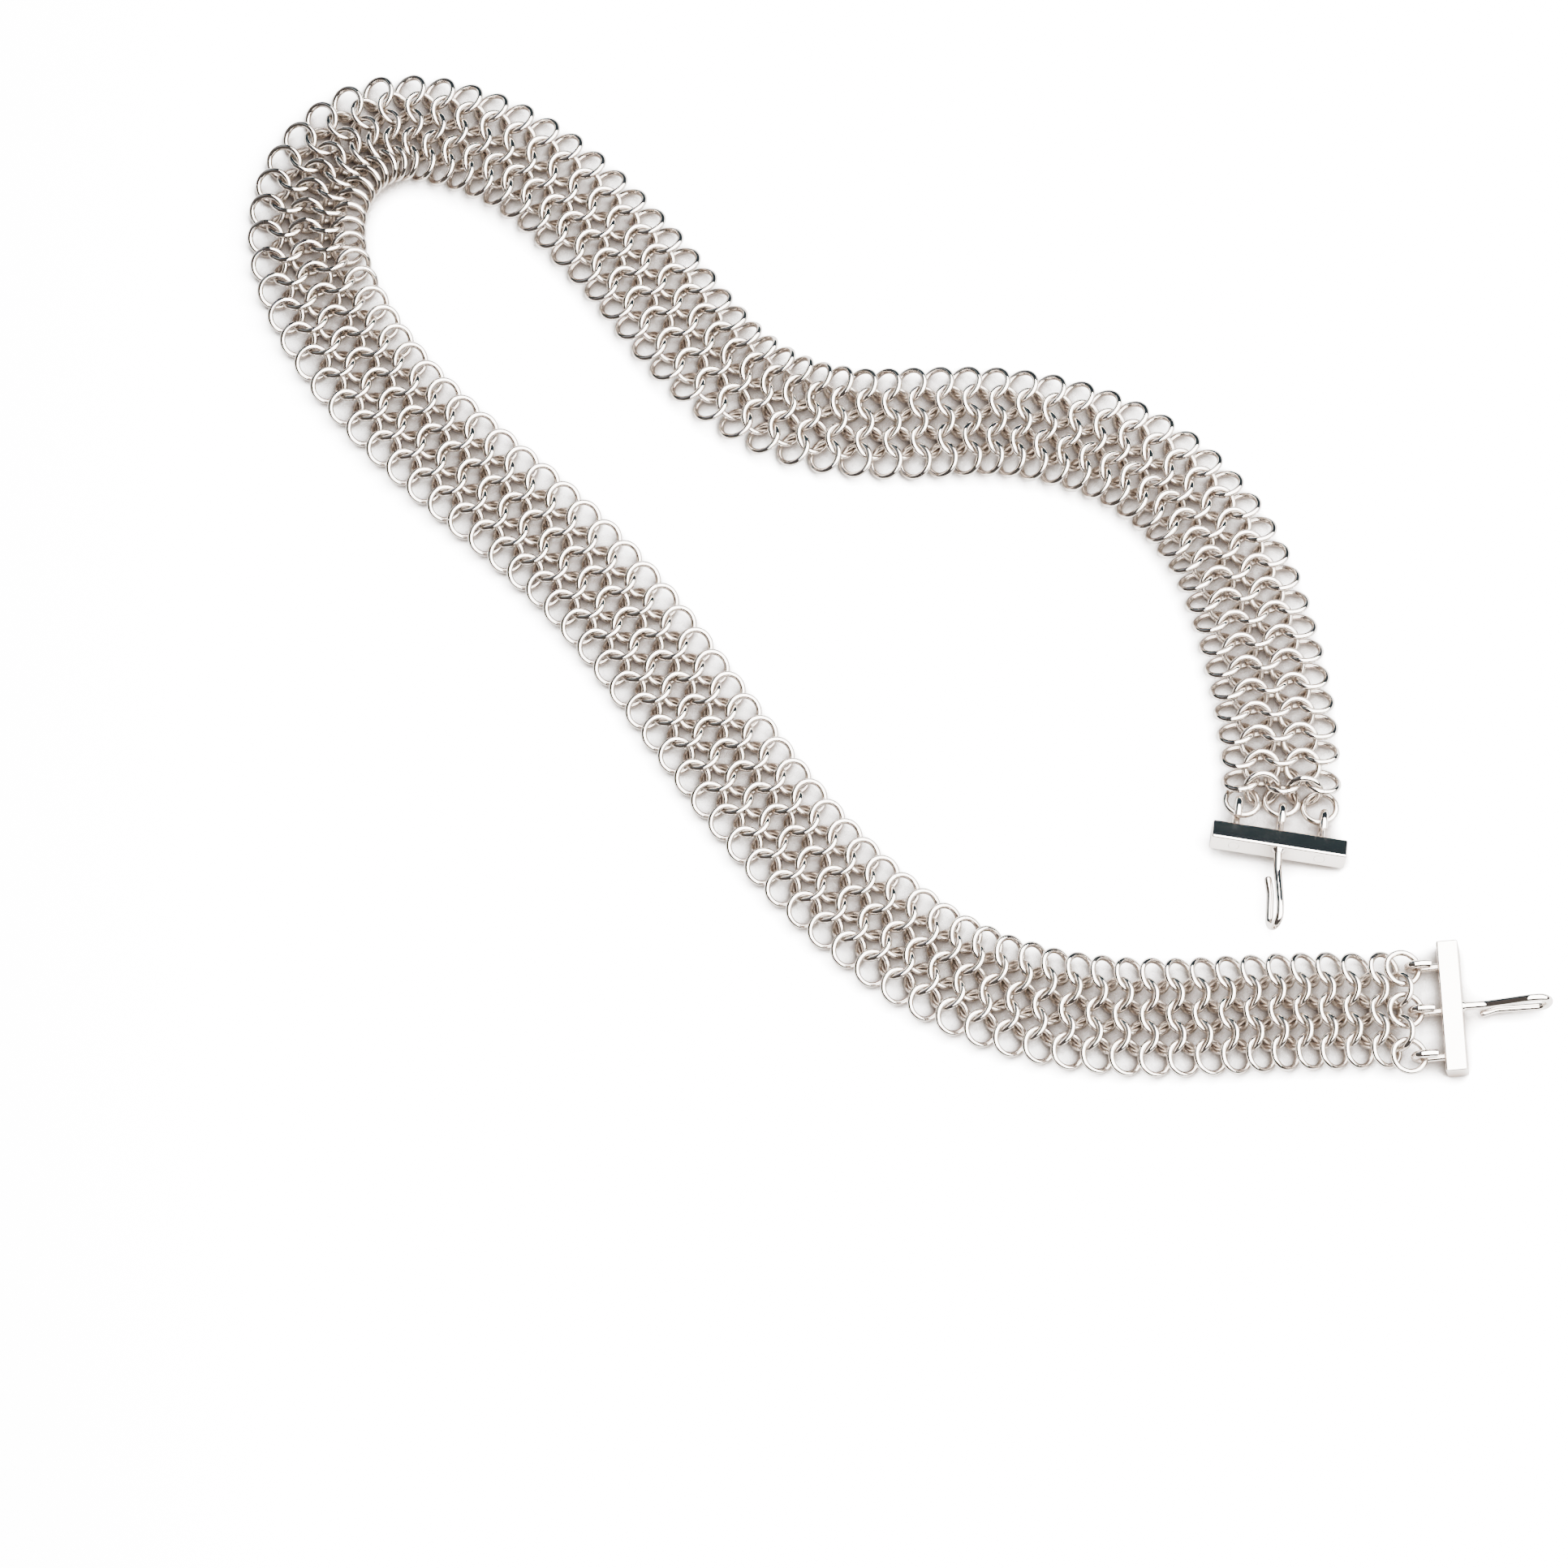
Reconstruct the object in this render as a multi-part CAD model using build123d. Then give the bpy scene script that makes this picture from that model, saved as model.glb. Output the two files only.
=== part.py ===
from build123d import *
from math import cos, radians, sin
import os

os.makedirs("parts", exist_ok=True)

# A chainmail necklace lying open on a table: a band of mail five rings wide, with a square
# silver bar and a wire hook at each end. Sizes are millimetres. The origin is the middle of
# the band's length, on the table. The band runs from end "a" to end "b".

# Length of the mail along its middle line, between the middle end rings
MAIL_LENGTH = 426.3

# Rings of the mail
RING_OD = 5.6
RING_WIRE = 0.86
ROWS = 5
ROW_SPACING = 2.9
BAND_THICKNESS = 3.1
BAND_CLEARANCE = 0.3

# Square end bars
BAR_SECTION = 3.05
BAR_OVERHANG = 3.3
BAR_EDGE_RADIUS = 0.28

# Eye pins, which hold the end rings of rows 1, 3 and 5 to a bar
EYE_SPREAD = 0.6
EYE_WIRE = 1.15
EYE_OPENING = 1.1
EYE_REACH = 4.75
EYE_TIP_GAP = 1.05
EYE_TIP_BENT = 1.25
EYE_TIP_DROP = 0.32
RIVET_D = 1.5
RIVET_DEPTH = 0.6
BLIND_DEPTH = 1.9
PIN_CLEARANCE = 0.04

# Wire hooks, soldered to the outer face of a bar
HOOK_WIRE = 1.15
HOOK_LENGTH = 12.4
HOOK_RISE = 0.35
HOOK_CREST = 1.6
HOOK_DROP = 1.6
HOOK_STRAIGHT = 3.0
HOOK_TIP_RISE = 0.5
HOOK_TIP_FLARE = 0.8
HOOK_TIP_ROUND = 0.5
HOOK_BEND_SHARE = 0.97
SOLDER_D = 1.9
SOLDER_HEIGHT = 0.5

# How each end lies, with angles in degrees. "heading" is the way the bar's outer face points,
# "roll" lifts that face, and "lean" tips the bar along its length. "hold" is how far from the
# bar each end ring passes through its eye, and "tilt" how steeply the rings fall from there.
# "shift" is how far each eye pin is off its even place. The hook is "longer" than usual, bent
# down by "pitch" and aside by "swing", turned by "twist", and its tip ends "inset" from the bar.
ENDS = (
    {
        "name": "a", "heading": -98.0, "roll": 18.0, "lean": -4.0, "tilt": 22.0,
        "hold": (2.8, 2.85, 1.85), "shift": (-0.45, -0.05, 0.05),
        "longer": -0.3, "pitch": 12.0, "swing": 4.0, "twist": -20.0, "inset": 3.6,
    },
    {
        "name": "b", "heading": 2.5, "roll": 10.0, "lean": 0.0, "tilt": -12.0,
        "hold": (2.75, 2.75, 2.75), "shift": (-0.15, -0.35, -0.7),
        "longer": 0.3, "pitch": 5.0, "swing": 0.0, "twist": -5.0, "inset": 2.4,
    },
)

# Shape of the band's middle line, from the middle end ring at bar "a" to the one at bar "b".
# The line is scaled about the origin to the length of the mail.
ROUTE = [
    (141.3, -87.8), (140.5, -75.0), (138.0, -61.5), (133.5, -48.5), (125.0, -37.5),
    (113.0, -31.0), (99.0, -28.5), (85.0, -29.0), (71.5, -27.0), (60.0, -19.0),
    (51.5, -8.0), (42.5, 3.0), (32.0, 12.5), (19.5, 18.0), (11.5, 18.5),
    (5.0, 15.0), (1.0, 8.5), (0.0, 0.0), (3.0, -10.0), (10.0, -21.5),
    (19.5, -32.0), (30.0, -41.5), (40.0, -51.0), (49.0, -62.0), (57.0, -73.5),
    (65.0, -85.0), (73.5, -96.0), (83.5, -106.0), (95.0, -114.0), (108.0, -118.5),
    (122.0, -120.0), (136.0, -119.5), (150.0, -119.0), (157.8, -118.9),
]

# Spans of the band: columns of rings, and how far apart they lie as a share of the usual pitch
SPANS = (
    (24, 0.95),
    (21, 1.02),
    (6, 0.88),
    (7, 0.82),
    (4, 0.99),
    (11, 1.04),
    (22, 1.06),
    (9, 0.98),
    (8, 0.90),
)

# Sizes that follow from the ones above
RING_R = (RING_OD - RING_WIRE) / 2
HALF_BAR = BAR_SECTION / 2
EDGE_OFFSET = (ROWS - 1) / 2 * ROW_SPACING
EYE_SPACING = EDGE_OFFSET + EYE_SPREAD
BAR_LENGTH = 2 * (EYE_SPACING + BAR_OVERHANG)
EYE_R = (EYE_WIRE + EYE_OPENING) / 2
EYE_TURN = EYE_REACH - EYE_WIRE / 2 - EYE_R
EYE_BEND = EYE_R + EYE_WIRE / 2


def along(heading):
    """Unit vector on the table that points along a heading in degrees."""
    return Vector(cos(radians(heading)), sin(radians(heading)), 0)


def bar_plane(ring_centre, end):
    """Plane at a bar's middle: x points out along its hook, y along the bar, z up.

    The bar stands off the middle end ring by what its eye needs, and it lies with its lowest
    corner on the table.
    """
    out = along(end["heading"])
    roll = radians(end["roll"])
    lean = radians(end["lean"])
    middle = ring_centre + out * (RING_R * cos(radians(end["tilt"])) + end["hold"][1] + HALF_BAR)
    corner = HALF_BAR * (cos(roll) + sin(abs(roll)))
    height = corner * cos(lean) + BAR_LENGTH / 2 * sin(abs(lean))
    level = Plane(origin=(middle.X, middle.Y, height), x_dir=out, z_dir=(0, 0, 1))
    return Plane(level.location * Rot(end["lean"], -end["roll"], 0))


def eye_offsets(end):
    """Distance of each eye pin from the middle of its bar."""
    even = (EYE_SPACING, 0.0, -EYE_SPACING)
    return [place + shift for place, shift in zip(even, end["shift"])]


def end_rings(plane, end):
    """The three end rings, each passing through the eye of a pin."""
    inward = along(end["heading"]) * -1
    rings = []
    for offset, hold in zip(eye_offsets(end), end["hold"]):
        held = plane.from_local_coords(Vector(-HALF_BAR - hold, offset, EYE_R))
        eye = Plane(origin=held, x_dir=inward, z_dir=(0, 0, 1))
        ring = Rot(0, end["tilt"], 0) * Pos(RING_R, 0, 0) * Torus(RING_R, RING_WIRE / 2)
        rings.append(eye * ring)
    return rings


def band_end(plane, end):
    """Points on the table across the end of the band's body, clear of the eyes' bends."""
    step = along(end["heading"]) * -(EYE_BEND + BAND_CLEARANCE)
    points = []
    for offset in eye_offsets(end):
        bend = plane.from_local_coords(Vector(-HALF_BAR - EYE_TURN, offset, EYE_R)) + step
        points.append(Vector(bend.X, bend.Y, 0))
    return points


def column_stations(route):
    """Distance along the route of each column of edge rings, from the table of spans."""
    shares = [share for count, share in SPANS for _ in range(round(count))]
    pitch = route.length / sum(shares)
    stations = [0.0]
    for share in shares:
        stations.append(stations[-1] + pitch * share)
    return stations


def edge_scallops(route, stations, side):
    """Arcs along one edge of the band, one round each edge ring between the end rings."""
    centres = []
    normals = []
    for station in stations:
        point = route.position_at(station, position_mode=PositionMode.LENGTH)
        tangent = route.tangent_at(station, position_mode=PositionMode.LENGTH)
        normal = Vector(-tangent.Y, tangent.X, 0).normalized() * side
        centres.append(point + normal * EDGE_OFFSET)
        normals.append(normal)
    notches = []
    for k in range(len(centres) - 1):
        half = (centres[k + 1] - centres[k]).length / 2
        reach = RING_OD / 2 - half**2 / RING_OD
        normal = (normals[k] + normals[k + 1]).normalized()
        notches.append((centres[k] + centres[k + 1]) * 0.5 + normal * reach)
    arcs = []
    for k in range(1, len(centres) - 1):
        crown = centres[k] + normals[k] * (RING_OD / 2)
        arcs.append(ThreePointArc(notches[k - 1], crown, notches[k]))
    return arcs, notches[0], notches[-1]


def mail_band(route, planes):
    """The woven band as one solid with scalloped edges, and its six end rings."""
    stations = column_stations(route)
    left, left_a, left_b = edge_scallops(route, stations, 1)
    right, right_a, right_b = edge_scallops(route, stations, -1)
    # Looking out of end "a" its left is the band's right edge, and at end "b" it is the left
    end_a, end_b = [band_end(plane, end) for plane, end in zip(planes, ENDS)]
    across_a = Polyline(left_a, *reversed(end_a), right_a)
    across_b = Polyline(left_b, *end_b, right_b)
    outline = Wire([*left, *across_b.edges(), *right, *across_a.edges()])
    band = extrude(Face(outline), amount=BAND_THICKNESS, dir=(0, 0, 1))
    for plane, end in zip(planes, ENDS):
        for ring in end_rings(plane, end):
            band += ring
    return band


def pin_holes(end, grow):
    """The three pins' shanks and rivets, grown all round, as they lie in a bar's frame."""
    holes = []
    for number, offset in enumerate(eye_offsets(end)):
        blind = number == 1
        depth = BLIND_DEPTH + grow if blind else BAR_SECTION
        shank = Cylinder(EYE_WIRE / 2 + grow, depth, align=(Align.CENTER, Align.CENTER, Align.MIN))
        hole = Pos(-HALF_BAR, offset, 0) * Rot(0, 90, 0) * shank
        if not blind:
            rivet = Cylinder(
                RIVET_D / 2 + grow,
                RIVET_DEPTH + grow,
                align=(Align.CENTER, Align.CENTER, Align.MAX),
            )
            hole += Pos(HALF_BAR, offset, 0) * Rot(0, 90, 0) * rivet
        holes.append(hole)
    return holes


def hook_wire(length, inset):
    """The hook: out and up from its root, round a bend, and back under to a rounded tip."""
    outer = length - HOOK_WIRE / 2
    points = [
        (-HOOK_WIRE / 2, 0, 0),
        (HOOK_STRAIGHT, 0, 0),
        (length - HOOK_CREST - HOOK_DROP, 0, HOOK_CREST - HOOK_RISE),
        (outer, 0, HOOK_CREST - HOOK_RISE),
        (outer, 0, -HOOK_DROP - HOOK_RISE),
        (inset + 2 * HOOK_WIRE, 0, -HOOK_DROP - HOOK_RISE),
        (inset, -HOOK_TIP_FLARE, HOOK_TIP_RISE - HOOK_DROP - HOOK_RISE),
    ]
    bend = HOOK_BEND_SHARE * (HOOK_CREST + HOOK_DROP) / 2
    radii = [4 * HOOK_WIRE, 3 * HOOK_WIRE, bend, bend, 2 * HOOK_WIRE]
    path = FilletPolyline(*points, radius=radii)
    section = Plane(origin=path @ 0, z_dir=path % 0) * Circle(HOOK_WIRE / 2)
    wire = sweep(section, path=path)
    tip = wire.edges().filter_by(GeomType.CIRCLE).sort_by_distance(points[-1])[0]
    return fillet(tip, HOOK_TIP_ROUND)


def hook_bar(end):
    """A bar with its drilled holes and its soldered hook, in the bar's own frame."""
    bar = Box(BAR_SECTION, BAR_LENGTH, BAR_SECTION)
    bar = fillet(bar.edges(), BAR_EDGE_RADIUS)
    for hole in pin_holes(end, PIN_CLEARANCE):
        bar -= hole
    root = Pos(HALF_BAR, 0, HOOK_RISE)
    solder = Cone(
        SOLDER_D / 2,
        HOOK_WIRE / 2,
        SOLDER_HEIGHT,
        align=(Align.CENTER, Align.CENTER, Align.MIN),
    )
    bar += root * Rot(0, 90, 0) * solder
    turned = Rot(0, end["pitch"], 0) * Rot(0, 0, end["swing"]) * Rot(end["twist"], 0, 0)
    bar += root * turned * hook_wire(HOOK_LENGTH + end["longer"], end["inset"])
    return bar


def eye_pin(offset, shank):
    """An eye pin: its shank in the bar, and the wire turned up, back and down over the ring."""
    path = (
        Polyline((-HALF_BAR, offset, 0), (-HALF_BAR - EYE_TURN, offset, 0))
        + ThreePointArc(
            (-HALF_BAR - EYE_TURN, offset, 0),
            (-HALF_BAR - EYE_TURN - EYE_R, offset, EYE_R),
            (-HALF_BAR - EYE_TURN, offset, 2 * EYE_R),
        )
        + Line(
            (-HALF_BAR - EYE_TURN, offset, 2 * EYE_R),
            (-HALF_BAR - EYE_TIP_GAP - EYE_TIP_BENT, offset, 2 * EYE_R),
        )
        + TangentArc(
            (-HALF_BAR - EYE_TIP_GAP - EYE_TIP_BENT, offset, 2 * EYE_R),
            (-HALF_BAR - EYE_TIP_GAP, offset, 2 * EYE_R - EYE_TIP_DROP),
            tangent=(1, 0, 0),
        )
    )
    section = Plane(origin=path @ 0, z_dir=path % 0) * Circle(EYE_WIRE / 2)
    return sweep(section, path=path) + shank


def export(name, shape):
    """Write one sub-part as a single clean solid."""
    solid = shape.solid()
    solid.label = name
    export_step(solid, f"parts/{name}.step")


def main():
    shape = Spline(*ROUTE)
    route = shape.scale(MAIL_LENGTH / shape.length)
    planes = [bar_plane(at, end) for at, end in zip((route @ 0, route @ 1), ENDS)]
    for plane, end in zip(planes, ENDS):
        name = end["name"]
        export(f"hook_bar_{name}", plane * hook_bar(end))
        pins = zip(eye_offsets(end), pin_holes(end, 0))
        for number, (offset, shank) in enumerate(pins, start=1):
            export(f"eye_pin_{name}{number}", plane * eye_pin(offset, shank))
    export("mail_band", mail_band(route, planes))


main()
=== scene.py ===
import math

import bpy
import numpy as np
from mathutils import Matrix, Vector


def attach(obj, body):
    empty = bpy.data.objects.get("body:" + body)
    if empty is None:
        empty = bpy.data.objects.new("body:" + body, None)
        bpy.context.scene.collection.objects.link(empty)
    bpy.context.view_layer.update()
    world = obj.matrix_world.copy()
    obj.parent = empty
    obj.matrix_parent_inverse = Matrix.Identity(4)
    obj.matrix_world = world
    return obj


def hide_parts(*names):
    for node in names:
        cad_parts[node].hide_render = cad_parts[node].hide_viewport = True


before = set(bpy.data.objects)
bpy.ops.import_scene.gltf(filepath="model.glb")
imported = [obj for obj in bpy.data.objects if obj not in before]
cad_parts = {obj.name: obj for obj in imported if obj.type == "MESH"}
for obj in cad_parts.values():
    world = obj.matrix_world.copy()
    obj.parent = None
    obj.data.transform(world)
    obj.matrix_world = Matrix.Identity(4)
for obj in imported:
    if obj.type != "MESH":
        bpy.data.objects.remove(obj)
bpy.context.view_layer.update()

# A chainmail necklace lying open on a white table. Lengths in the tables below are in
# millimetres, and the scene itself is in metres.
MM = 0.001

# Rings of the mail. The rows lie 0.2 further apart than in the CAD's solid band, because the
# photo's band is wider, and rows 2 and 4 lie a little ahead of the middle of their neighbours.
RING_OD = 5.6
WIRE = 0.86
RING_R = (RING_OD - WIRE) / 2
ROWS = 5
ROW_SPACING = 3.1
EVEN_AHEAD = 0.4
MAIL_LENGTH = 426.3
SEAM_GAP = 0.05

# Tilt of the rings, in degrees: the usual one at the usual distance between columns, how much
# steeper it is for each millimetre less, its limits, and how much more rows 2 and 4 have
USUAL_PITCH = 4.0
USUAL_TILT = 27
TILT_GAIN = 30
TILT_LIMITS = (14, 52)
EVEN_TILT = 4

# How far the outer rows tip outwards, and how much the rings differ, in degrees
OUTER_DROOP = 5
TILT_SPREAD = 1.6
DROOP_SPREAD = 2.0
YAW_SPREAD = 2.5

# How the rings settle: the clearance of the wires, the reach in which a ring looks for others,
# the shares of a push, a lift off the floor and a turn that one round carries out, the pull
# towards home and the share of the rounds it lasts, and the most that a ring moves (in
# millimetres) and turns (in radians) in one round
CLEARANCE = 0.03
NEAR = 1.2
PUSH = 0.2
LIFT = 0.5
TWIST = 0.35
PULL = 0.015
PULL_LASTS = 0.8
MOST_MOVE = 0.1
MOST_TURN = 0.05
ROUNDS = 200
TINY = 1e-9

# Shape of the band's middle line, from the middle end ring at bar "a" to the one at bar "b"
ROUTE = np.array([
    (141.3, -87.8), (140.5, -75.0), (138.0, -61.5), (133.5, -48.5), (125.0, -37.5),
    (113.0, -31.0), (99.0, -28.5), (85.0, -29.0), (71.5, -27.0), (60.0, -19.0),
    (51.5, -8.0), (42.5, 3.0), (32.0, 12.5), (19.5, 18.0), (11.5, 18.5),
    (5.0, 15.0), (1.0, 8.5), (0.0, 0.0), (3.0, -10.0), (10.0, -21.5),
    (19.5, -32.0), (30.0, -41.5), (40.0, -51.0), (49.0, -62.0), (57.0, -73.5),
    (65.0, -85.0), (73.5, -96.0), (83.5, -106.0), (95.0, -114.0), (108.0, -118.5),
    (122.0, -120.0), (136.0, -119.5), (150.0, -119.0), (157.8, -118.9),
])

# Spans of the band: columns of rings, and how far apart they lie as a share of the usual pitch
SPANS = (
    (24, 0.95),
    (21, 1.02),
    (6, 0.88),
    (7, 0.82),
    (4, 0.99),
    (11, 1.04),
    (22, 1.06),
    (9, 0.98),
    (8, 0.90),
)

# Square end bars and the eyes that the end rings hang in
HALF_BAR = 1.525
BAR_LENGTH = 19.4
EYE_SPACING = 6.4
EYE_R = 1.125

# How each end lies, with angles in degrees, as in the CAD: the way the bar's outer face points,
# its roll and lean, the slope of the end rings there ("tilt"), how far from the bar each end
# ring passes through its eye, and how far each pin is off its even place. What follows is for
# the loose rings alone: how far each end ring falls away from its eye ("fall") and swings about
# it, seen from above ("turn"). "next" is how far inside the end rings the first rings of rows 2
# and 4 lie, their slope, and how much nearer the bar than usual the second rings of rows 1, 3
# and 5 lie.
ENDS = {
    "a": {
        "heading": -98.0, "roll": 18.0, "lean": -4.0, "tilt": 22.0,
        "hold": (2.8, 2.85, 1.85), "shift": (-0.45, -0.05, 0.05),
        "fall": (12.0, 15.0, 17.0), "turn": (18.0, 7.0, -10.6),
        "next": (2.0, 46.0, 0.3),
    },
    "b": {
        "heading": 2.5, "roll": 10.0, "lean": 0.0, "tilt": -12.0,
        "hold": (2.75, 2.75, 2.75), "shift": (-0.15, -0.35, -0.7),
        "fall": (-14.0, -14.0, -14.0), "turn": (9.0, 0.0, 0.0),
        "next": (0.7, 44.0, 0.75),
    },
}

RANDOM = np.random.default_rng(31)


# Route

def cubic_spline(points):
    """Natural cubic spline through points, as a function of chord length."""
    knots = np.concatenate([[0.0], np.cumsum(np.linalg.norm(np.diff(points, axis=0), axis=1))])
    h = np.diff(knots)
    count = len(points)
    a = np.zeros((count, count))
    b = np.zeros((count, points.shape[1]))
    a[0, 0] = a[-1, -1] = 1.0
    for i in range(1, count - 1):
        a[i, i - 1] = h[i - 1]
        a[i, i] = 2 * (h[i - 1] + h[i])
        a[i, i + 1] = h[i]
        b[i] = 6 * ((points[i + 1] - points[i]) / h[i] - (points[i] - points[i - 1]) / h[i - 1])
    bend = np.linalg.solve(a, b)

    def at(u):
        u = np.clip(u, 0, knots[-1])
        i = np.clip(np.searchsorted(knots, u, side="right") - 1, 0, count - 2)
        left = (knots[i + 1] - u)[:, None]
        right = (u - knots[i])[:, None]
        width = h[i][:, None]
        return (
            bend[i] * left**3 / (6 * width)
            + bend[i + 1] * right**3 / (6 * width)
            + (points[i] / width - bend[i] * width / 6) * left
            + (points[i + 1] / width - bend[i + 1] * width / 6) * right
        )

    return at, knots[-1]


def route_line():
    """Dense points along the middle line, and their distances along it."""
    at, end = cubic_spline(ROUTE)
    line = at(np.linspace(0, end, 4000))
    length = np.concatenate([[0.0], np.cumsum(np.linalg.norm(np.diff(line, axis=0), axis=1))])
    scale = MAIL_LENGTH / length[-1]
    return line * scale, length * scale


LINE, LINE_S = route_line()


def on_route(s):
    """Points and unit tangents of the middle line at distances s along it."""
    x = np.interp(s, LINE_S, LINE[:, 0])
    y = np.interp(s, LINE_S, LINE[:, 1])
    step = 1.0
    dx = np.interp(s + step, LINE_S, LINE[:, 0]) - np.interp(s - step, LINE_S, LINE[:, 0])
    dy = np.interp(s + step, LINE_S, LINE[:, 1]) - np.interp(s - step, LINE_S, LINE[:, 1])
    tangent = np.stack([dx, dy], axis=1)
    tangent /= np.linalg.norm(tangent, axis=1)[:, None]
    return np.stack([x, y], axis=1), tangent


def column_stations():
    """Distance along the route of each column of rings in rows 1, 3 and 5."""
    shares = np.concatenate([np.full(count, share) for count, share in SPANS])
    smooth = np.convolve(np.pad(shares, 2, mode="edge"), np.full(5, 0.2), mode="valid")
    return np.concatenate([[0.0], np.cumsum(smooth)]) * MAIL_LENGTH / smooth.sum()


# Rings of the mail: places and tilts

def lay_rings():
    """Centres, normals and row and column numbers of all rings, before they settle."""
    columns = column_stations()
    centres, normals, rows, places = [], [], [], []
    for row in range(ROWS):
        even = row % 2 == 1
        s = (columns[1:] + columns[:-1]) / 2 + EVEN_AHEAD if even else columns
        point, tangent = on_route(s)
        side = np.stack([-tangent[:, 1], tangent[:, 0]], axis=1)
        offset = ((ROWS - 1) / 2 - row) * ROW_SPACING
        at = point + side * offset
        pitch = np.linalg.norm(np.gradient(at, axis=0), axis=1)
        usual = np.clip(USUAL_TILT + TILT_GAIN * (USUAL_PITCH - pitch), *TILT_LIMITS)
        tilt = np.radians(usual + (EVEN_TILT if even else 0))
        tilt += np.radians(RANDOM.normal(0, TILT_SPREAD, len(s)))
        turn = -1 if even else 1
        outward = {0: OUTER_DROOP, ROWS - 1: -OUTER_DROOP}.get(row, 0)
        droop = np.radians(outward + RANDOM.normal(0, DROOP_SPREAD, len(s)))
        yaw = np.radians(RANDOM.normal(0, YAW_SPREAD, len(s)))
        ahead = tangent * np.cos(yaw)[:, None] + side * np.sin(yaw)[:, None]
        across = np.stack([-ahead[:, 1], ahead[:, 0]], axis=1)
        normal = np.concatenate(
            [
                ahead * (turn * np.sin(tilt))[:, None] + across * np.sin(droop)[:, None],
                (np.cos(tilt) * np.cos(droop))[:, None],
            ],
            axis=1,
        )
        normal /= np.linalg.norm(normal, axis=1)[:, None]
        height = RING_R * np.sqrt(1 - normal[:, 2] ** 2) + WIRE / 2
        centres.append(np.concatenate([at, height[:, None]], axis=1))
        normals.append(normal)
        rows.append(np.full(len(s), row))
        places.append(np.arange(len(s)) + (0.5 if even else 0.0))
    return (
        np.concatenate(centres),
        np.concatenate(normals),
        np.concatenate(rows),
        np.concatenate(places),
    )


def bar_frame(ring_centre, end):
    """Matrix of a bar's middle: x points out along its hook, y along the bar, z up."""
    heading, roll, lean = (math.radians(end[key]) for key in ("heading", "roll", "lean"))
    reach = RING_R * math.cos(math.radians(end["tilt"])) + end["hold"][1] + HALF_BAR
    corner = HALF_BAR * (math.cos(roll) + math.sin(roll))
    height = corner * math.cos(lean) + BAR_LENGTH / 2 * math.sin(abs(lean))
    middle = Vector((
        ring_centre[0] + math.cos(heading) * reach,
        ring_centre[1] + math.sin(heading) * reach,
        height,
    ))
    turned = Matrix.Rotation(heading, 4, "Z") @ Matrix.Rotation(lean, 4, "X")
    return Matrix.Translation(middle) @ turned @ Matrix.Rotation(-roll, 4, "Y")


def hang_end_rings(centres, normals, rows, places):
    """Puts the end rings of rows 1, 3 and 5 in the eyes of the bars and their neighbours beside
    them, and returns the end rings' indices.
    """
    held = []
    for name, column, at in (("a", 0.0, LINE[0]), ("b", places.max(), LINE[-1])):
        end = ENDS[name]
        bar = bar_frame(at, end)
        heading = math.radians(end["heading"])
        # Looking out along the hooks, row 1 is on the left at "b" and on the right at "a"
        order = (0, 2, 4) if name == "b" else (4, 2, 0)
        loose = zip(*(end[key] for key in ("hold", "shift", "fall", "turn")))
        for row, place, (hold, shift, *angles) in zip(order, (1, 0, -1), loose):
            i = int(np.nonzero((rows == row) & (places == column))[0][0])
            fall, turn = np.radians(angles)
            way = heading + math.pi + turn
            inward = np.array([
                math.cos(way) * math.cos(fall), math.sin(way) * math.cos(fall), -math.sin(fall),
            ])
            across = np.array([math.sin(way), -math.cos(way), 0.0])
            eye = bar @ Vector((-HALF_BAR - hold, place * EYE_SPACING + shift, EYE_R))
            centres[i] = np.array(eye) + inward * RING_R
            normals[i] = np.cross(across, inward)
            normals[i] /= np.linalg.norm(normals[i])
            normals[i] *= np.sign(normals[i][2])
            held.append(i)
        gap, slope, nearer = end["next"]
        back = np.array([-math.cos(heading), -math.sin(heading), 0.0])
        centres[np.abs(places - column) == 1] -= back * nearer
        facing = back if name == "b" else -back
        for left, right in ((held[-3], held[-2]), (held[-2], held[-1])):
            between = (rows == (rows[left] + rows[right]) // 2) & (np.abs(places - column) == 0.5)
            i = int(np.nonzero(between)[0][0])
            centres[i] = (centres[left] + centres[right]) / 2 + back * gap
            centres[i][2] = RING_R * math.sin(math.radians(slope)) + WIRE / 2
            normals[i] = facing * math.sin(math.radians(slope))
            normals[i][2] = math.cos(math.radians(slope))
    return held


def near_pairs(centres):
    """Pairs of rings near enough to touch."""
    gap = np.linalg.norm(centres[:, None] - centres[None], axis=2)
    return np.nonzero(np.triu(gap < RING_OD + NEAR, k=1))


def ring_axes(normals):
    """Two unit vectors in each ring's plane."""
    u = np.cross(np.array([0.0, 1.0, 0.0]), normals)
    u /= np.linalg.norm(u, axis=1)[:, None]
    return u, np.cross(normals, u)


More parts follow.
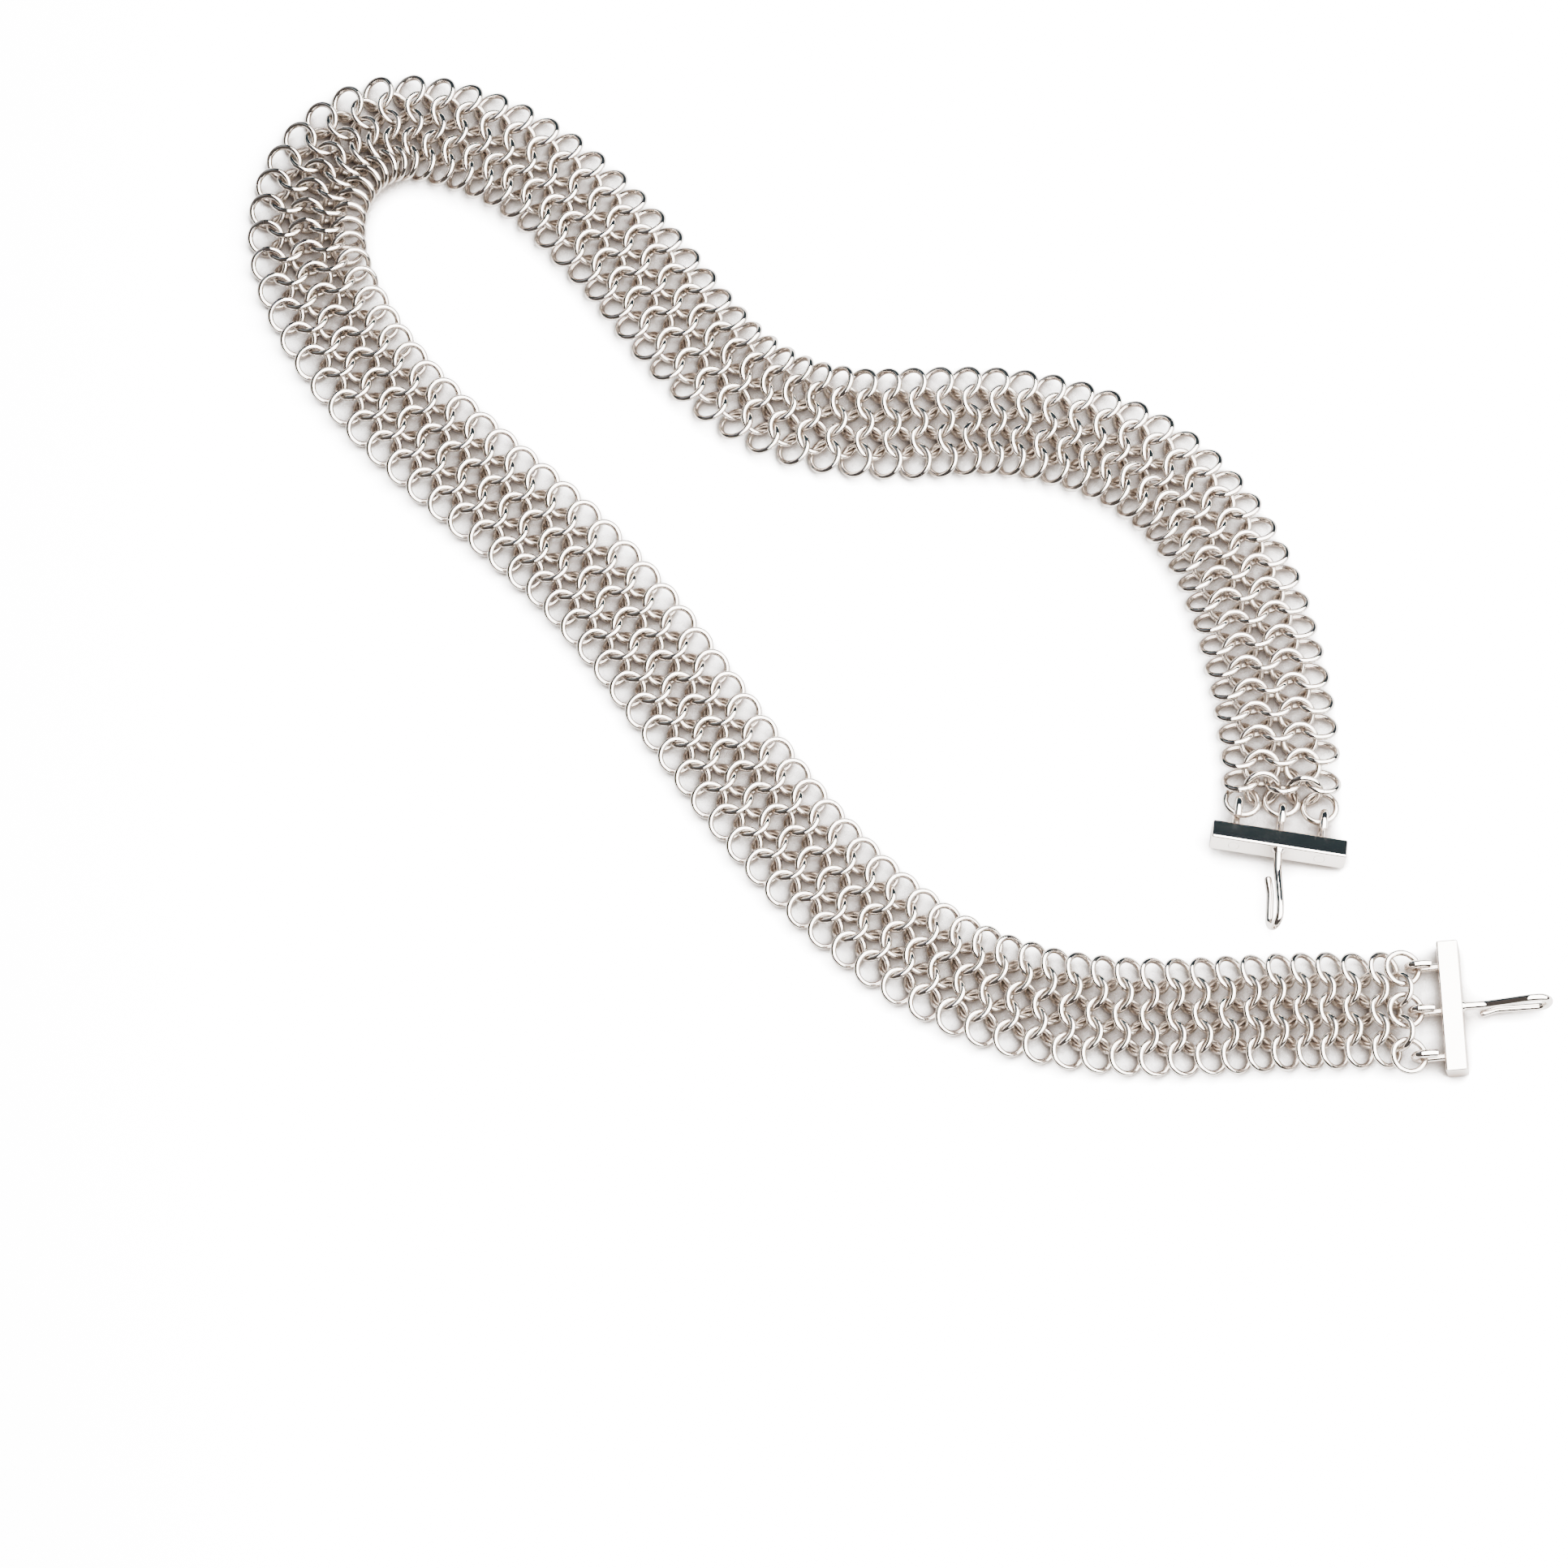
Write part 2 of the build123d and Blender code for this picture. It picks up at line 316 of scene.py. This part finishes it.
def pushes(centres, normals, a, b, circle, clear):
    """How rings a must move and turn so that their wires clear those of rings b.

    Returns the push on each ring a and its turning moment, and the moment on each ring b.
    """
    u, v = ring_axes(normals)
    cos, sin = circle
    wire = centres[a][:, None] + RING_R * (u[a][:, None] * cos + v[a][:, None] * sin)
    rel = wire - centres[b][:, None]
    height = np.einsum("psk,pk->ps", rel, normals[b])
    flat = rel - height[..., None] * normals[b][:, None]
    radius = np.linalg.norm(flat, axis=2) + TINY
    near = centres[b][:, None] + flat * (RING_R / radius)[..., None]
    apart = wire - near
    distance = np.linalg.norm(apart, axis=2) + TINY
    deep = np.maximum(clear - distance, 0.0)
    share = deep.max(axis=1) / (deep.sum(axis=1) + TINY)
    push = apart * (deep / distance * share[:, None])[..., None]
    turn_a = np.cross(wire - centres[a][:, None], push).sum(axis=1)
    turn_b = np.cross(near - centres[b][:, None], -push).sum(axis=1)
    return push.sum(axis=1), turn_a, turn_b


def capped(vectors, most):
    """Vectors cut down to a greatest length."""
    size = np.linalg.norm(vectors, axis=1)[:, None]
    return vectors * (np.minimum(size, most) / (size + TINY))


def settle(centres, normals, held, rounds, samples=40):
    """Moves and turns the rings, a little at a time, so that the wires clear each other.

    Each ring is pulled towards where it was laid, so the weave keeps its links.
    """
    home, home_normals = centres.copy(), normals.copy()
    first, second = near_pairs(centres)
    angle = np.linspace(0, 2 * np.pi, samples, endpoint=False)
    circle = (np.cos(angle)[None, :, None], np.sin(angle)[None, :, None])
    free = np.ones((len(centres), 1))
    free[held] = 0.0
    for turn in range(rounds):
        move = np.zeros_like(centres)
        twist = np.zeros_like(centres)
        for a, b in ((first, second), (second, first)):
            push, turn_a, turn_b = pushes(centres, normals, a, b, circle, WIRE + CLEARANCE)
            np.add.at(move, a, push)
            np.add.at(move, b, -push)
            np.add.at(twist, a, turn_a)
            np.add.at(twist, b, turn_b)
        low = centres[:, 2] - RING_R * np.sqrt(1 - normals[:, 2] ** 2) - WIRE / 2
        move = move * PUSH
        move[:, 2] += np.maximum(-low, 0) * LIFT
        pull = PULL * max(0.0, 1 - turn / (PULL_LASTS * rounds))
        move += (home - centres) * pull
        turned = twist * TWIST / RING_R**2 + np.cross(normals, home_normals) * pull
        centres = centres + capped(move, MOST_MOVE) * free
        normals = normals + np.cross(capped(turned, MOST_TURN), normals) * free
        normals /= np.linalg.norm(normals, axis=1)[:, None]
    return centres, normals


# Ring meshes

RING_STEPS = 44
WIRE_SIDES = 12


def ring_template(gap):
    """Vertices, faces and sharp edges of one ring with a butt seam, in its own plane."""
    turn = 2 * math.pi - gap / RING_R
    theta = np.linspace(-turn / 2, turn / 2, RING_STEPS)
    phi = np.linspace(0, 2 * np.pi, WIRE_SIDES, endpoint=False)
    radius = RING_R + WIRE / 2 * np.cos(phi)[None]
    x = radius * np.cos(theta)[:, None]
    y = radius * np.sin(theta)[:, None]
    z = np.broadcast_to(WIRE / 2 * np.sin(phi)[None], x.shape)
    tube = np.stack([x, y, z], axis=2).reshape(-1, 3)
    quads = []
    for i in range(RING_STEPS - 1):
        for j in range(WIRE_SIDES):
            k = (j + 1) % WIRE_SIDES
            quads.append((
                i * WIRE_SIDES + j,
                i * WIRE_SIDES + k,
                (i + 1) * WIRE_SIDES + k,
                (i + 1) * WIRE_SIDES + j,
            ))
    last = (RING_STEPS - 1) * WIRE_SIDES
    caps = [tuple(range(WIRE_SIDES))[::-1], tuple(last + j for j in range(WIRE_SIDES))]
    return tube, quads, caps


def build_row(name, centres, normals, material):
    """One row of rings as one mesh, each ring turned so that its seam lies at random."""
    tube, quads, caps = ring_template(SEAM_GAP)
    count, size = len(centres), len(tube)
    u, v = ring_axes(normals)
    seam = RANDOM.uniform(0, 2 * np.pi, count)
    verts = np.empty((count, size, 3))
    for i in range(count):
        a = u[i] * math.cos(seam[i]) + v[i] * math.sin(seam[i])
        b = np.cross(normals[i], a)
        axes = np.stack([a, b, normals[i]])
        verts[i] = centres[i] + tube @ axes
    faces = quads + caps
    mesh = bpy.data.meshes.new(name)
    every = [tuple(c + i * size for c in f) for i in range(count) for f in faces]
    mesh.from_pydata((verts.reshape(-1, 3) * MM).tolist(), [], every)
    mesh.shade_smooth()
    ends = np.zeros((count, size), bool)
    ends[:, :WIRE_SIDES] = True
    ends[:, -WIRE_SIDES:] = True
    ends = ends.reshape(-1)
    edges = np.empty(len(mesh.edges) * 2, np.int32)
    mesh.edges.foreach_get("vertices", edges)
    edges = edges.reshape(-1, 2)
    sharp = ends[edges[:, 0]] & ends[edges[:, 1]]
    mark = mesh.attributes.new("sharp_edge", "BOOLEAN", "EDGE")
    mark.data.foreach_set("value", sharp)
    mesh.materials.append(material)
    piece = bpy.data.objects.new(name, mesh)
    bpy.context.collection.objects.link(piece)
    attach(piece, "root")
    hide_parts("mail_band")


# Materials

# How far the silver looks for metal around it, in metres, how open to its surroundings it is
# where it starts to dull and darken and where it is fully dull and dark, and how rough it gets
# there. The darkening is painted shade; the added roughness is a duller finish.
RECESS_REACH = 0.003
RECESS_RANGE = (0.95, 0.4)
DULL = 0.3

# Strength and depth, in metres, of the fine wear marks
WEAR = 0.15
WEAR_DEPTH = 0.00002

# How far the table looks for silver above it, in metres, and the colours of the painted shadow
# close under the silver and a little way out
TABLE_REACH = 0.0042
CLOSE_PAINTED_SHADOW = (0.13, 0.108, 0.094, 1)
HALF_PAINTED_SHADOW = (0.36, 0.317, 0.288, 1)


def new_material(name):
    """A node material and its node tree."""
    material = bpy.data.materials.new(name)
    material.use_nodes = True
    return material, material.node_tree


def feed(tree, node, sources):
    """Sets each named input of a node to a number or colour, or links it to an output."""
    for name, source in sources.items():
        if isinstance(source, bpy.types.NodeSocket):
            tree.links.new(source, node.inputs[name])
        else:
            node.inputs[name].default_value = source
    return node


def noise(tree, place, scale, detail):
    """A cloudy pattern at a place."""
    node = tree.nodes.new("ShaderNodeTexNoise")
    feed(tree, node, {"Vector": place, "Scale": scale, "Detail": detail})
    return node.outputs["Fac"]


def ranged(tree, value, low, high, to_low=0.0, to_high=1.0):
    """A value mapped from one range to another."""
    node = tree.nodes.new("ShaderNodeMapRange")
    feed(tree, node, {
        "Value": value,
        "From Min": low,
        "From Max": high,
        "To Min": to_low,
        "To Max": to_high,
    })
    return node.outputs["Result"]


def mixed(tree, kind, factor, a, b):
    """A mixture of two numbers ("FLOAT") or two colours ("RGBA")."""
    node = tree.nodes.new("ShaderNodeMix")
    node.data_type = kind
    feed(tree, node, {"Factor": factor, "A": a, "B": b})
    return node.outputs["Result"]


def openness(tree, reach):
    """How open the surface lies to its surroundings, from 0 to 1."""
    node = tree.nodes.new("ShaderNodeAmbientOcclusion")
    node.samples = 8
    feed(tree, node, {"Distance": reach})
    return node.outputs["AO"]


def silver(name, colour, shaded_recess_colour, gloss, scale):
    """Polished silver with a soft variation in gloss and tone and with fine wear marks.

    Where metal lies close around it, it is duller and its colour turns to the shaded recess
    colour, a painted shade. The gloss is a lowest and a highest roughness.
    """
    material, tree = new_material(name)
    place = tree.nodes.new("ShaderNodeTexCoord").outputs["Object"]
    cloud = noise(tree, place, scale * 0.25, 4.0)
    rough = ranged(tree, cloud, 0.3, 0.7, *gloss)
    tone = mixed(tree, "RGBA", cloud, (*colour, 1), (*[c * 0.93 for c in colour], 1))
    # Painted shade: the colour darkens where metal lies close around, and the roughness rises
    # there
    dull_and_shade = ranged(tree, openness(tree, RECESS_REACH), *RECESS_RANGE)
    wear = feed(tree, tree.nodes.new("ShaderNodeBump"), {
        "Height": noise(tree, place, scale, 6.0),
        "Strength": WEAR,
        "Distance": WEAR_DEPTH,
    })
    feed(tree, tree.nodes["Principled BSDF"], {
        "Metallic": 1.0,
        "Roughness": mixed(tree, "FLOAT", dull_and_shade, rough, DULL),
        "Base Color": mixed(tree, "RGBA", dull_and_shade, tone, (*shaded_recess_colour, 1)),
        "Normal": wear.outputs["Normal"],
    })
    return material


def painted_table_shadow(tree, near, middle, top):
    """Painted shadow on the table: dark close under the silver, brown a little way out, then
    white.
    """
    node = tree.nodes.new("ShaderNodeValToRGB")
    close, far = node.color_ramp.elements
    close.position, close.color = 0.2, CLOSE_PAINTED_SHADOW
    far.position, far.color = middle + 0.25, (top, top, top, 1)
    half = node.color_ramp.elements.new(middle)
    half.color = HALF_PAINTED_SHADOW
    feed(tree, node, {"Fac": near})
    return node.outputs["Color"]


def floor_material():
    """A plain white table, with a painted shadow close under the silver.

    The silver mirrors it less brightly than it is seen directly, so the wires keep dark lines.
    """
    material, tree = new_material("white_table")
    tree.nodes.clear()
    near = openness(tree, TABLE_REACH)
    seen = tree.nodes.new("ShaderNodeLightPath").outputs["Is Camera Ray"]
    # Both the mirrored and the directly seen table carry the painted shadow under the silver
    mirrored = painted_table_shadow(tree, near, 0.6, 0.6)
    direct = painted_table_shadow(tree, near, 0.56, 2.6)
    paper = tree.nodes.new("ShaderNodeBsdfDiffuse")
    feed(tree, paper, {"Color": mixed(tree, "RGBA", seen, mirrored, direct)})
    output = tree.nodes.new("ShaderNodeOutputMaterial")
    feed(tree, output, {"Surface": paper.outputs["BSDF"]})
    return material


# Scene

def build_mail(material):
    """All five rows of rings."""
    centres, normals, rows, places = lay_rings()
    held = hang_end_rings(centres, normals, rows, places)
    rounds = ROUNDS
    centres, normals = settle(centres, normals, held, rounds)
    for row in range(ROWS):
        mask = rows == row
        build_row(f"mail_row_{row + 1}", centres[mask], normals[mask], material)


def dress_cad(material):
    """Better material on the bars, hooks and eye pins."""
    for name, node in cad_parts.items():
        if name == "mail_band":
            continue
        node.data.materials.clear()
        node.data.materials.append(material)


def build_floor():
    """The table, far larger than the view."""
    mesh = bpy.data.meshes.new("table")
    reach = 3.0
    mesh.from_pydata(
        [(-reach, -reach, 0), (reach, -reach, 0), (reach, reach, 0), (-reach, reach, 0)],
        [],
        [(0, 1, 2, 3)],
    )
    mesh.materials.append(floor_material())
    table = bpy.data.objects.new("table", mesh)
    bpy.context.collection.objects.link(table)


def soft_box(name, at, aim, size, radiance, colour=(1, 1, 1)):
    """A soft box at a place in metres that faces a point, as bright as its radiance says."""
    data = bpy.data.lights.new(name, "AREA")
    data.shape = "RECTANGLE"
    data.size, data.size_y = size
    data.energy = radiance * math.pi * size[0] * size[1]
    data.color = colour
    light = bpy.data.objects.new(name, data)
    light.location = at
    light.rotation_mode = "QUATERNION"
    light.rotation_quaternion = (Vector(aim) - Vector(at)).to_track_quat("-Z", "Y")
    bpy.context.collection.objects.link(light)


def build_light():
    """A wide white box overhead and to the right, a dim cool one far left, and a dark room."""
    world = bpy.data.worlds.new("room")
    bpy.context.scene.world = world
    world.use_nodes = True
    tree = world.node_tree
    background = tree.nodes["Background"]
    place = tree.nodes.new("ShaderNodeTexCoord")
    split = tree.nodes.new("ShaderNodeSeparateXYZ")
    tree.links.new(place.outputs["Generated"], split.inputs["Vector"])
    tone = tree.nodes.new("ShaderNodeValToRGB")
    front, back = tone.color_ramp.elements
    front.position, front.color = 0.3, (0.115, 0.104, 0.097, 1)
    back.position, back.color = 0.75, (0.04, 0.058, 0.07, 1)
    tree.links.new(split.outputs["Y"], tone.inputs["Fac"])
    tree.links.new(tone.outputs["Color"], background.inputs["Color"])
    background.inputs["Strength"].default_value = 1.0
    soft_box("overhead_box", (0.7, 0.0, 0.5), (0.7, 0.0, 0), (1.4, 1.1), 18.0)
    soft_box("left_box", (-0.55, 0.4, 0.65), (0.08, -0.05, 0), (0.6, 0.6), 0.35, (0.8, 0.92, 1.0))


# Half the photo's width and the focal length, in pixels of the photo
PHOTO_HALF = 966
FOCAL = 9000


def build_camera():
    """The camera at the photograph's angle: from the south, 20.5 degrees off straight down."""
    data = bpy.data.cameras.new("camera")
    data.sensor_width = 36.0
    data.lens = data.sensor_width / 2 / (PHOTO_HALF / FOCAL)
    data.clip_start, data.clip_end = 0.05, 20
    camera = bpy.data.objects.new("camera", data)
    at = Vector((0.0701, -0.4498, 0.9779))
    aim = Vector((0.0701, -0.0842, 0.0))
    camera.location = at
    camera.rotation_mode = "QUATERNION"
    camera.rotation_quaternion = (aim - at).to_track_quat("-Z", "Y")
    bpy.context.collection.objects.link(camera)
    bpy.context.scene.camera = camera


build_camera()
build_light()
build_floor()
# The third colour of each silver is a painted shade for where metal lies close around it
ring_silver = silver(
    "ring_silver", (0.72, 0.663, 0.61), (0.36, 0.305, 0.258), (0.04, 0.09), 900.0
)
bar_silver = silver(
    "bar_silver", (0.84, 0.775, 0.715), (0.55, 0.47, 0.41), (0.02, 0.05), 700.0
)
build_mail(ring_silver)
dress_cad(bar_silver)
